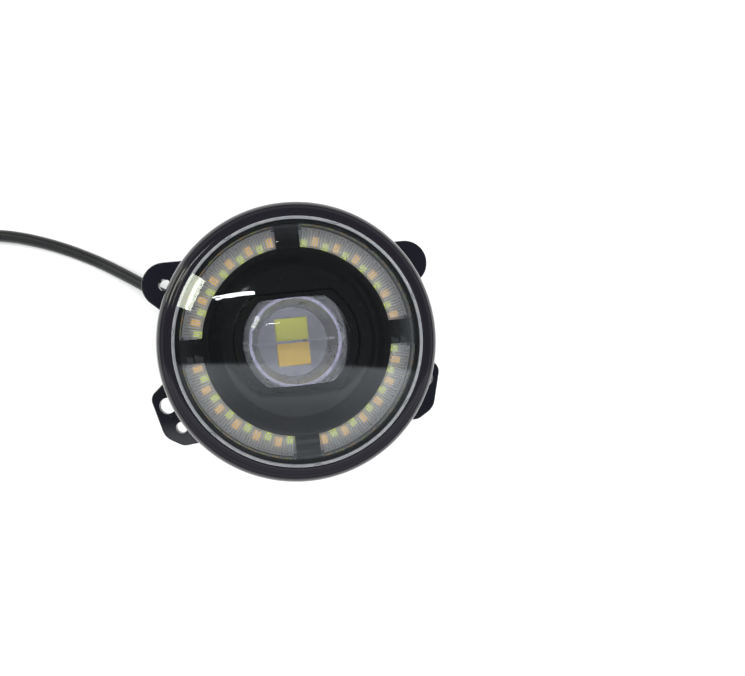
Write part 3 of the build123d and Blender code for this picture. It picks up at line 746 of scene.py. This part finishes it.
def sleeve_rib(
    outer: float, depth: float, base: float, pitch: float, rise: float, fall: float
) -> list[Corner]:
    """One rib of a rubber sleeve's section; rise and fall are shares of the pitch."""
    foot = outer - depth
    crest = [(outer, base + pitch * rise), (outer, base + pitch * 0.6)]
    return [(foot, base), *crest, (foot, base + pitch * fall)]


@dataclass
class Cable:
    """The free cable with its grommet and plug, and the lead inside the bracket."""

    radius: float = 0.00325
    length: float = 0.232
    route: tuple[Point, ...] = (
        (-0.05438, 0.02652, 0.012),
        (-0.06852, 0.03342, 0.012),
        (-0.0846, 0.0446, 0.0072),
        (-0.1030, 0.0562, 0.0034),
        (-0.1245, 0.0666, 0.00325),
        (-0.1490, 0.0744, 0.00325),
        (-0.1750, 0.0762, 0.00325),
        (-0.2000, 0.0700, 0.00325),
        (-0.2215, 0.0564, 0.0042),
        (-0.2360, 0.0360, 0.0065),
        (-0.2435, 0.0136, 0.0065),
    )
    boot_length: float = 0.013
    boot_r: float = 0.0054
    grommet_seat: float = 0.0488

    def line(self, name: str, points: Sequence[Point]) -> bpy.types.Curve:
        """A smooth open spline with the given control points."""
        curve = bpy.data.curves.new(name, "CURVE")
        curve.dimensions = "3D"
        curve.resolution_u = 16
        spline = curve.splines.new("NURBS")
        spline.points.add(len(points) - 1)
        for control, at in zip(spline.points, points):
            control.co = (*at, 1.0)
        spline.order_u = 3
        spline.use_endpoint_u = True
        return curve

    def followed(self, name: str, points: Sequence[Point]) -> list[Vector]:
        """Points along the smooth line through a route."""
        guide = placed(name, self.line(name, points))
        mesh = plain_mesh(guide)
        line = [vertex.co.copy() for vertex in mesh.vertices]
        bpy.data.objects.remove(guide, do_unlink=True)
        return line

    def level_frame(self, origin: Vector, toward: Vector) -> Matrix:
        """A frame at a point: its Z runs the given level way and its Y points up."""
        along = toward.normalized()
        up = Vector((0, 0, 1))
        return Matrix.Translation(origin) @ Matrix((up.cross(along), up, along)).transposed().to_4x4()

    def way_out(self) -> Matrix:
        """A frame on the lamp's axis whose Z runs out along the grommet."""
        x, y, z = self.route[0]
        return self.level_frame(Vector((0, 0, z)), Vector((x, y, 0)))

    def plug_frame(self) -> Matrix:
        """A frame at the cable's end whose Z runs on along the cable."""
        end = Vector(self.route[-1])
        return self.level_frame(end, end - Vector(self.route[-2]))

    def make_grommet(self) -> bpy.types.Object:
        """The ribbed rubber grommet in the cup's wall."""
        tip = hypot(*self.route[0][:2])
        seat_at = self.grommet_seat
        section = [(self.radius, seat_at - 0.0045), (0.0047, seat_at - 0.0045), (0.0047, seat_at)]
        section += [(0.0063, seat_at + 0.00002), (0.0066, seat_at + 0.0003), (0.0066, seat_at + 0.0013)]
        section += [(0.0063, seat_at + 0.0016), (0.0054, seat_at + 0.0017)]
        first = seat_at + 0.0024
        ribs = 4
        pitch = (tip - 0.0006 - first) / ribs
        for count in range(ribs):
            outer = 0.0053 - 0.0011 * count / (ribs - 1)
            section += sleeve_rib(outer, 0.0006, first + pitch * count, pitch, 0.2, 0.8)
        section += [(0.0039, tip - 0.0002), (0.0037, tip), (self.radius, tip)]
        maker = MeshMaker().lathe(section, 64, self.way_out())
        return seat(maker.piece("grommet", RUBBER), Body.BRACKET, "black_rubber", "cable_grommet")

    def make_boot(self) -> bpy.types.Object:
        """The plug's ribbed rear boot."""
        section = [(0.0, 0.0), (self.radius + 0.0006, 0.0), (self.radius + 0.0009, 0.0003)]
        ribs = 5
        pitch = (self.boot_length - 0.0028) / ribs
        first_r = self.radius + 0.0011
        for count in range(ribs):
            outer = first_r + (self.boot_r - self.radius - 0.0011) * count / (ribs - 1)
            section += sleeve_rib(outer, 0.0005, 0.0005 + pitch * count, pitch, 0.25, 0.85)
        section += [(self.boot_r, self.boot_length - 0.0018), (self.boot_r, self.boot_length)]
        section.append((0.0, self.boot_length))
        maker = MeshMaker().lathe(section, 48, self.plug_frame())
        return seat(maker.piece("boot", RUBBER), Body.BRACKET, "black_rubber", "plug_boot")

    def make_inner_lead(self) -> None:
        """The lead from the lamp's gland to the grommet, left on neither body."""
        gland_low, gland_high = (Vector(corner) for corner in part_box("cable_gland"))
        top = Vector(((gland_low.x + gland_high.x) / 2, (gland_low.y + gland_high.y) / 2, gland_low.z))
        out = Vector(self.route[0])
        along = Vector((out.x, out.y, 0)).normalized()
        corner = Vector((top.x, top.y, out.z))
        route = [top, top.lerp(corner, 0.45), top.lerp(corner, 0.92), corner + along * 0.004]
        route += [corner + along * 0.012, corner.lerp(out, 0.75), out]
        line = self.followed("inner_route", [tuple(point) for point in route])
        part = bmesh.new()
        sides = 20
        tube_r = self.radius - 0.00008
        rows = []
        side = Vector((0, 0, 1)).cross(along).normalized()
        for index, point in enumerate(line):
            ahead = line[min(index + 1, len(line) - 1)] - line[max(index - 1, 0)]
            across = ahead.normalized().cross(side)
            row = []
            for step in range(sides):
                turn = 2 * pi * step / sides
                row.append(part.verts.new(point + (side * cos(turn) + across * sin(turn)) * tube_r))
            rows.append(row)
        bridged(part, rows)
        part.faces.new(rows[0])
        part.faces.new(rows[-1])
        lead = MeshMaker().take(part).piece("lead_inside", JACKET)
        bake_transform(lead)
        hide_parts("inner_lead")
        LOG.info("piece %s bends between the bodies", lead.name)

    def build(self) -> None:
        """Makes the cable and everything on it."""
        curve = self.line("jacket", self.route)
        curve.bevel_depth = self.radius
        curve.bevel_resolution = 7
        curve.use_fill_caps = True
        curve.materials.append(JACKET.material())
        jacket = placed("jacket", curve)
        seat(jacket, Body.BRACKET, "cable_jacket", "cable")
        self.make_grommet()
        plug = [self.make_boot()]
        plug += [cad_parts[f"plug_{part}"] for part in ("body", "wedge", "latch", "contacts")]
        self.make_inner_lead()


# ---------------------------------------------------------------- lamp body


@dataclass
class Bezel:
    """The front ring, its key, its polished lip and the faint moulding marks on it."""

    radius: float
    rear: float
    front: float
    round_r: float = 0.006
    window_r: float = 0.0458
    inner_r: float = 0.0492
    lip: float = 0.0017
    key_half: float = 0.005
    key_top: float = 0.085
    grooves: tuple[Corner, ...] = ((0.0500, 0.00016), (0.0485, 0.00011), (0.0472, 0.00009))
    marks: int = 7
    mark_r: float = 0.0021
    mark_reach: float = 0.0472
    mark_start: float = 16.0

    def section(self) -> list[Corner]:
        """The ring's section, counter-clockwise from its inner rear corner."""
        low = self.front - self.lip
        edge = 0.0005
        points = [(self.inner_r, self.rear + edge), (self.inner_r + edge, self.rear)]
        points += [(self.radius - edge, self.rear), (self.radius, self.rear + edge)]
        centre = (self.radius - self.round_r, self.front - self.round_r)
        points += arc_points(centre, self.round_r, 0, 90, 14)
        points += [(self.window_r + 0.0005, self.front), (self.window_r, self.front - 0.0005)]
        points += [(self.window_r, low), (self.inner_r, low)]
        return points

    def on_round(self, reach: float) -> float:
        """The height of the front surface at a radius."""
        over = max(reach - (self.radius - self.round_r), 0.0)
        return self.front - self.round_r + sqrt(self.round_r**2 - over**2)

    def build(self) -> None:
        """Makes the bezel."""
        maker = MeshMaker().lathe(self.section(), 256)
        for reach, size in self.grooves:
            height = self.on_round(reach)
            ring = [(reach - size, height - size), (reach + size, height - size * 1.6)]
            ring += [(reach + size * 0.5, height + size * 0.6), (reach - size * 0.6, height + size)]
            maker.lathe(ring, 256)
        key_low = (-self.key_half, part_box("front_bezel")[0][1], self.rear)
        maker.block(key_low, (self.key_half, -self.inner_r - 0.0004, self.key_top), 0.0012)
        base = maker.piece("bezel", BEZEL_BLACK, 30.0)
        thin = 0.00007
        outline = [(self.mark_r - thin, 0.0), (self.mark_r + thin, 0.0), (self.mark_r, thin)]
        shape = MeshMaker().sector(outline, radians(70), radians(290), 20).piece("mark", BEZEL_BLACK)
        height = self.on_round(0.0466) - 0.00001
        start = radians(self.mark_start)
        around = RingRepeat(self.marks, self.mark_reach, height, start, 2 * pi / self.marks)
        around.onto(base, shape, BEZEL_BLACK)
        base.data.set_sharp_from_angle(angle=radians(30))
        seat(base, Body.LAMP, "bezel_satin_black", "front_bezel")


@dataclass
class OuterLens:
    """The clear domed lens, and a whitish fluted ring where it meets the bezel that is a painted highlight of
    the lens's edge.
    """

    apex: float
    flange_r: float
    edge_r: float = 0.0455
    sag: float = 0.009
    wall: float = 0.0022
    inner_sag: float = 0.0084
    flange_low: float = 0.092
    rim_low_r: float = 0.0447
    rim_high_r: float = 0.04575
    teeth: int = 420

    def build(self) -> None:
        """Makes the lens and its rim."""
        edge_z = self.apex - self.sag
        inner_r = self.edge_r - self.wall
        inner_edge = self.apex - self.wall - self.inner_sag
        section = cap_points(self.edge_r, edge_z, self.sag, 48)
        section += [(self.edge_r, self.flange_low + self.wall), (self.flange_r, self.flange_low + self.wall)]
        section += [(self.flange_r, self.flange_low), (inner_r, self.flange_low)]
        section += reversed(cap_points(inner_r, inner_edge, self.inner_sag, 48))
        lens = MeshMaker().lathe(section, 224).piece("dome_lens", CLEAR, 30.0)
        seat(lens, Body.LAMP, "clear_lens", "outer_lens")
        # The whitish ring and its teeth are a painted highlight along the lens's edge.
        low = edge_z - 0.0006
        top = edge_z - 0.00012
        ring = [(self.rim_low_r, low), (self.rim_high_r, low), (self.rim_high_r, top), (0.0453, top - 0.0001)]
        ring += [(0.0448, top - 0.00006), (self.rim_low_r + 0.0001, top)]
        rim = MeshMaker().lathe(ring, 240).piece("lens_rim", PAINTED_RIM_GLINT)
        half = (self.rim_high_r - self.rim_low_r) / 2
        tooth = MeshMaker().block((-half, -0.00012, -0.0001), (half, 0.00012, 0.00008), 0.0)
        shape = tooth.piece("tooth", PAINTED_RIM_GLINT)
        around = RingRepeat(self.teeth, self.rim_low_r + half, top, 0.0, 2 * pi / self.teeth)
        seat(around.onto(rim, shape, PAINTED_RIM_GLINT), Body.LAMP, "clear_lens")


@dataclass
class InnerTrim:
    """The piano-black trim: outer wall, four spokes between the guides and the central dish."""

    low: float
    top: float
    rim_top: float
    outer_r: float
    rim_inner_r: float = 0.0446
    wall_r: float = 0.0363
    dish_r: float = 0.0299
    floor_z: float = 0.0825
    skin: float = 0.0015
    hole_r: float = 0.0251
    hole_flat: float = 0.0196
    spoke_half: float = 0.00465
    spoke_low: float = 0.0822

    def build(self) -> None:
        """Makes the trim."""
        edge = 0.0004
        maker = MeshMaker()
        rim = [(self.rim_inner_r, self.low), (self.outer_r, self.low), (self.outer_r, self.rim_top)]
        rim += [(self.rim_inner_r + 0.0009, self.rim_top), (self.rim_inner_r + 0.0006, self.rim_top - 0.0003)]
        rim += [(self.rim_inner_r + 0.0003, self.top + 0.0008), (self.rim_inner_r, self.top + 0.0005)]
        maker.lathe(rim, 224)
        inner = self.wall_r - self.skin
        dish = [(self.wall_r, self.low), (self.wall_r, self.top - edge), (self.wall_r - edge, self.top)]
        dish += [(inner + 0.0002, self.top), (inner, self.top - 0.00025), (inner - 0.0007, self.top - 0.0003)]
        dish += [(inner - 0.0009, self.top - 0.0005), (self.dish_r + 0.0009, self.floor_z + 0.0009)]
        dish += [(self.dish_r + 0.0003, self.floor_z + 0.0003), (self.dish_r, self.floor_z + 0.0002)]
        dish += [(self.dish_r - 0.0002, self.floor_z - 0.0001), (self.dish_r - 0.0004, self.floor_z)]
        rings = [fixed(corner) for corner in dish]
        rings.append(flatted(self.hole_r + edge, self.hole_flat + edge, self.floor_z))
        rings.append(flatted(self.hole_r, self.hole_flat, self.floor_z - edge))
        rings.append(flatted(self.hole_r, self.hole_flat, self.floor_z - self.skin))
        rings += [fixed((self.dish_r, self.floor_z - self.skin)), fixed((inner, self.floor_z + 0.0004))]
        rings.append(fixed((inner, self.low)))
        maker.turned(rings, 256)
        split = self.wall_r + 0.0034
        spokes = ((self.wall_r - 0.0003, split, self.top - 0.0001),)
        spokes += ((split + 0.00005, self.rim_inner_r + 0.0003, self.top - 0.0005),)
        for turn in range(4):
            place = Matrix.Rotation(turn * pi / 2, 4, "Z")
            for near, far, top in spokes:
                low = (near, -self.spoke_half, self.spoke_low)
                maker.block(low, (far, self.spoke_half, top), 0.0003, place)
        seat(maker.piece("trim", PIANO_BLACK), Body.LAMP, "trim_gloss_black", "inner_trim")


@dataclass
class Halo:
    """Four clear fluted light guides."""

    low: float
    top: float
    inner_r: float = 0.0366
    outer_r: float = 0.0443
    spoke_half: float = 0.00465
    gap: float = 0.0003
    rib_height: float = 0.0006
    ribs: int = 24
    rib_width: float = 0.00178

    def build(self) -> None:
        """Makes the four guides."""
        half_gap = atan2(self.spoke_half + self.gap, self.inner_r)
        face = self.top - self.rib_height
        edge = 0.0005
        section = [(self.inner_r, self.low), (self.outer_r, self.low), (self.outer_r, face - edge)]
        section += [(self.outer_r - edge, face), (self.inner_r + edge, face), (self.inner_r, face - edge)]
        span = pi / 2 - 2 * half_gap
        step = span / self.ribs
        length = self.outer_r - self.inner_r - 0.0006
        for quarter in range(4):
            start = quarter * pi / 2 + half_gap
            name = f"guide_{quarter + 1}"
            base = MeshMaker().sector(section, start, start + span, 48).piece(name, GUIDE)
            layers = ((0.0, -0.0004), (0.0, 0.0001), (0.00024, self.rib_height), (0.00030, self.rib_height))
            layers += ((0.00054, 0.00005),)
            rib = MeshMaker().slot_stack(length, self.rib_width, layers).piece("rib", GUIDE)
            middle = (self.inner_r + self.outer_r) / 2
            row = RingRepeat(self.ribs, middle, face, start + step / 2, step)
            row.onto(base, rib, GUIDE)
            seat(base, Body.LAMP, "halo_guide_clear", f"halo_guide_{quarter + 1}")


@dataclass
class Projector:
    """The flat-sided projector lens."""

    seat_z: float
    radius: float = 0.0228
    flat: float = 0.0173
    rim: float = 0.002
    sag: float = 0.007

    def surface(self, share: float) -> Ring:
        """A ring on the lens's front, at a share of the way from the axis to its edge."""
        ball = (self.radius**2 + self.sag**2) / (2 * self.sag)
        base = self.seat_z + self.rim + self.sag - ball

        def ring(angle: float) -> Corner:
            reach = flatted(self.radius, self.flat, 0.0)(angle)[0] * share
            return reach, base + sqrt(ball**2 - reach**2)

        return ring

    def build(self) -> None:
        """Makes the lens."""
        rings = [self.surface(step / 28) for step in range(29)]
        rings.append(flatted(self.radius, self.flat, self.seat_z))
        rings.append(fixed((0.0, self.seat_z)))
        lens = MeshMaker().turned(rings, 240).piece("projector", GLASS, 40.0)
        seat(lens, Body.LAMP, "projector_glass", "projector_lens")


class LampBody:
    """Everything that tilts."""

    def build(self) -> None:
        """Makes the lamp's visible pieces."""
        bezel_low, bezel_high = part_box("front_bezel")
        Bezel(bezel_high[0], bezel_low[2], bezel_high[2]).build()
        lens_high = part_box("outer_lens")[1]
        OuterLens(lens_high[2], lens_high[0]).build()
        trim_low, trim_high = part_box("inner_trim")
        guide_low, guide_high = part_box("halo_guide_1")
        InnerTrim(trim_low[2], guide_high[2] + 0.001, trim_high[2], trim_high[0]).build()
        Halo(guide_low[2], guide_high[2]).build()
        Projector(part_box("projector_lens")[0][2]).build()
        housing = smooth_copy("lamp_housing", "housing", SATIN_BLACK)
        seat(housing, Body.LAMP, "housing_satin_black", "lamp_housing")


class BracketCup:
    """The glossy mounting bracket."""

    def build(self) -> None:
        """Makes the bracket."""
        cup = smooth_copy("mounting_bracket", "bracket_cup", GLOSS_BLACK)
        seat(cup, Body.BRACKET, "bracket_gloss_black", "mounting_bracket")


# ---------------------------------------------------------------- CAD nodes that stay

KEPT_NODES: dict[Finish, tuple[str, ...]] = {
    RUBBER: ("lens_gasket", "rear_seal"),
    WHITE_BOARD: ("halo_board",),
    PLATE: ("emitter_board", "cutoff_shield"),
    GREEN_BOARD: ("driver_board",),
    LED_AMBER: ("halo_leds_amber",),
    LED_YELLOW: ("halo_leds_white",),
    YELLOW: ("emitter_white",),
    AMBER: ("emitter_amber",),
    PLAIN_BLACK: ("lens_holder", "driver_components", "vent_plug", "cable_gland", "plug_body", "plug_latch"),
    PIANO_BLACK: ("lens_retainer",),
    CHROME_PAINTED_REFLECTION: ("reflector_bowl",),
    COATED: ("heat_sink",),
    STEEL: tuple(f"{part}_screws" for part in ("holder", "emitter_board", "heat_sink", "driver_board"))
    + ("adjuster_screw", "adjuster_clip"),
    NATURAL: ("adjuster_nut",),
    ORANGE: ("plug_wedge",),
    BRASS: ("plug_contacts",),
}


def dress_kept_nodes() -> None:
    """Gives each CAD node that stays visible its finish."""
    for finish, names in KEPT_NODES.items():
        for name in names:
            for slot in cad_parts[name].material_slots:
                slot.material = finish.material()
            LOG.info("node %s has finish %s", name, finish.name)


# ---------------------------------------------------------------- studio


@dataclass(frozen=True)
class StudioLight:
    """An area light that faces the lamp."""

    name: str
    toward: Point
    along: Point
    distance: float
    size: Corner
    radiance: float
    role: LightRole
    colour: Colour = (1.0, 1.0, 1.0)

    def build(self) -> None:
        """Makes the light; its power follows from its radiance and its area."""
        lamp = bpy.data.lights.new(self.name, "AREA")
        lamp.color = self.colour
        lamp.shape = "RECTANGLE"
        lamp.size, lamp.size_y = self.size
        lamp.energy = self.radiance * pi * self.size[0] * self.size[1]
        out = Vector(self.toward).normalized()
        along = (Vector(self.along) - Vector(self.along).dot(out) * out).normalized()
        holder = placed(self.name, lamp)
        holder.matrix_world = (
            Matrix.Translation(out * self.distance)
            @ Matrix((along, out.cross(along), out)).transposed().to_4x4()
        )
        holder.visible_glossy = self.role.value
        holder.visible_camera = False


@dataclass
class Studio:
    """Camera, surroundings, lights and floor."""

    camera_at: Point = (-0.009389, 0.000211, 0.259684)
    camera_turn: Point = (0.66, -3.148, -5.834)
    lens_mm: float = 21.81
    shift: float = 0.10
    lights: tuple[StudioLight, ...] = (
        StudioLight("overhead", (0.1, 0.05, 1), (1, 0, 0), 1.4, (1.6, 1.6), 3.7, LightRole.FILL),
        StudioLight(
            name="window",
            toward=(-0.677, 0.421, 0.604),
            along=(-0.16, -0.26, 0.0),
            distance=1.5,
            size=(0.37, 0.17),
            radiance=11.0,
            role=LightRole.REFLECTED,
            colour=(0.97, 1.0, 0.78),
        ),
        StudioLight(
            name="tube",
            toward=(-0.40, 0.391, 0.829),
            along=(0.286, 0.025, 0.126),
            distance=1.5,
            size=(0.48, 0.018),
            radiance=45.0,
            role=LightRole.REFLECTED,
        ),
    )

    def make_camera(self) -> None:
        """Makes the camera."""
        data = bpy.data.cameras.new("camera")
        data.sensor_width = 36.0
        data.lens = self.lens_mm
        data.shift_x = self.shift
        data.clip_start = 0.01
        camera = placed("camera", data)
        camera.location = self.camera_at
        camera.rotation_euler = [radians(turn) for turn in self.camera_turn]
        bpy.context.scene.camera = camera

    def make_surroundings(self) -> None:
        """A dim room overhead, a pale table on the -Y side and a paler horizon all round."""
        world = bpy.data.worlds.new("surroundings")
        world.use_nodes = True
        world.node_tree.nodes.clear()
        graph = ShaderGraph(world.node_tree)
        direction = graph.add("ShaderNodeTexCoord", "Generated")
        x, y, z = graph.parts(direction)
        room = 0.07
        pale = 0.42
        over = x * -0.122 + y * -0.9925
        table = graph.smooth(over, 0.165, 0.205)
        near = 1 - graph.smooth(over, 0.18, 0.60)
        horizon = 1 - graph.smooth(z, 0.30, 0.72)
        strength = room + table * (0.40 + near * pale) + horizon * pale * (1 - table)
        sky = graph.add("ShaderNodeBackground", 0, {"Color": (0.93, 0.97, 1.0, 1.0), "Strength": strength})
        output = world.node_tree.nodes.new("ShaderNodeOutputWorld")
        graph.feed(output.inputs["Surface"], sky)
        bpy.context.scene.world = world
        bpy.context.scene.view_settings.view_transform = "Standard"

    def make_floor(self) -> None:
        """The table top, just under the bracket."""
        mesh = bpy.data.meshes.new("floor")
        half = 3.0
        corners = [(-half, -half, -1e-4), (half, -half, -1e-4), (half, half, -1e-4), (-half, half, -1e-4)]
        mesh.from_pydata(corners, [], [(0, 1, 2, 3)])
        mesh.materials.append(FLOOR.material())
        floor = placed("floor", mesh)

    def build(self) -> None:
        """Makes the surroundings, the floor and the lights."""
        self.make_surroundings()
        self.make_floor()
        for light in self.lights:
            light.build()


def main() -> None:
    """Builds the whole scene in order."""
    logging.basicConfig(level=logging.INFO, format="%(message)s")
    studio = Studio()
    studio.make_camera()
    Cable().build()
    LampBody().build()
    BracketCup().build()
    dress_kept_nodes()
    studio.build()


if __name__ == "__main__":
    main()
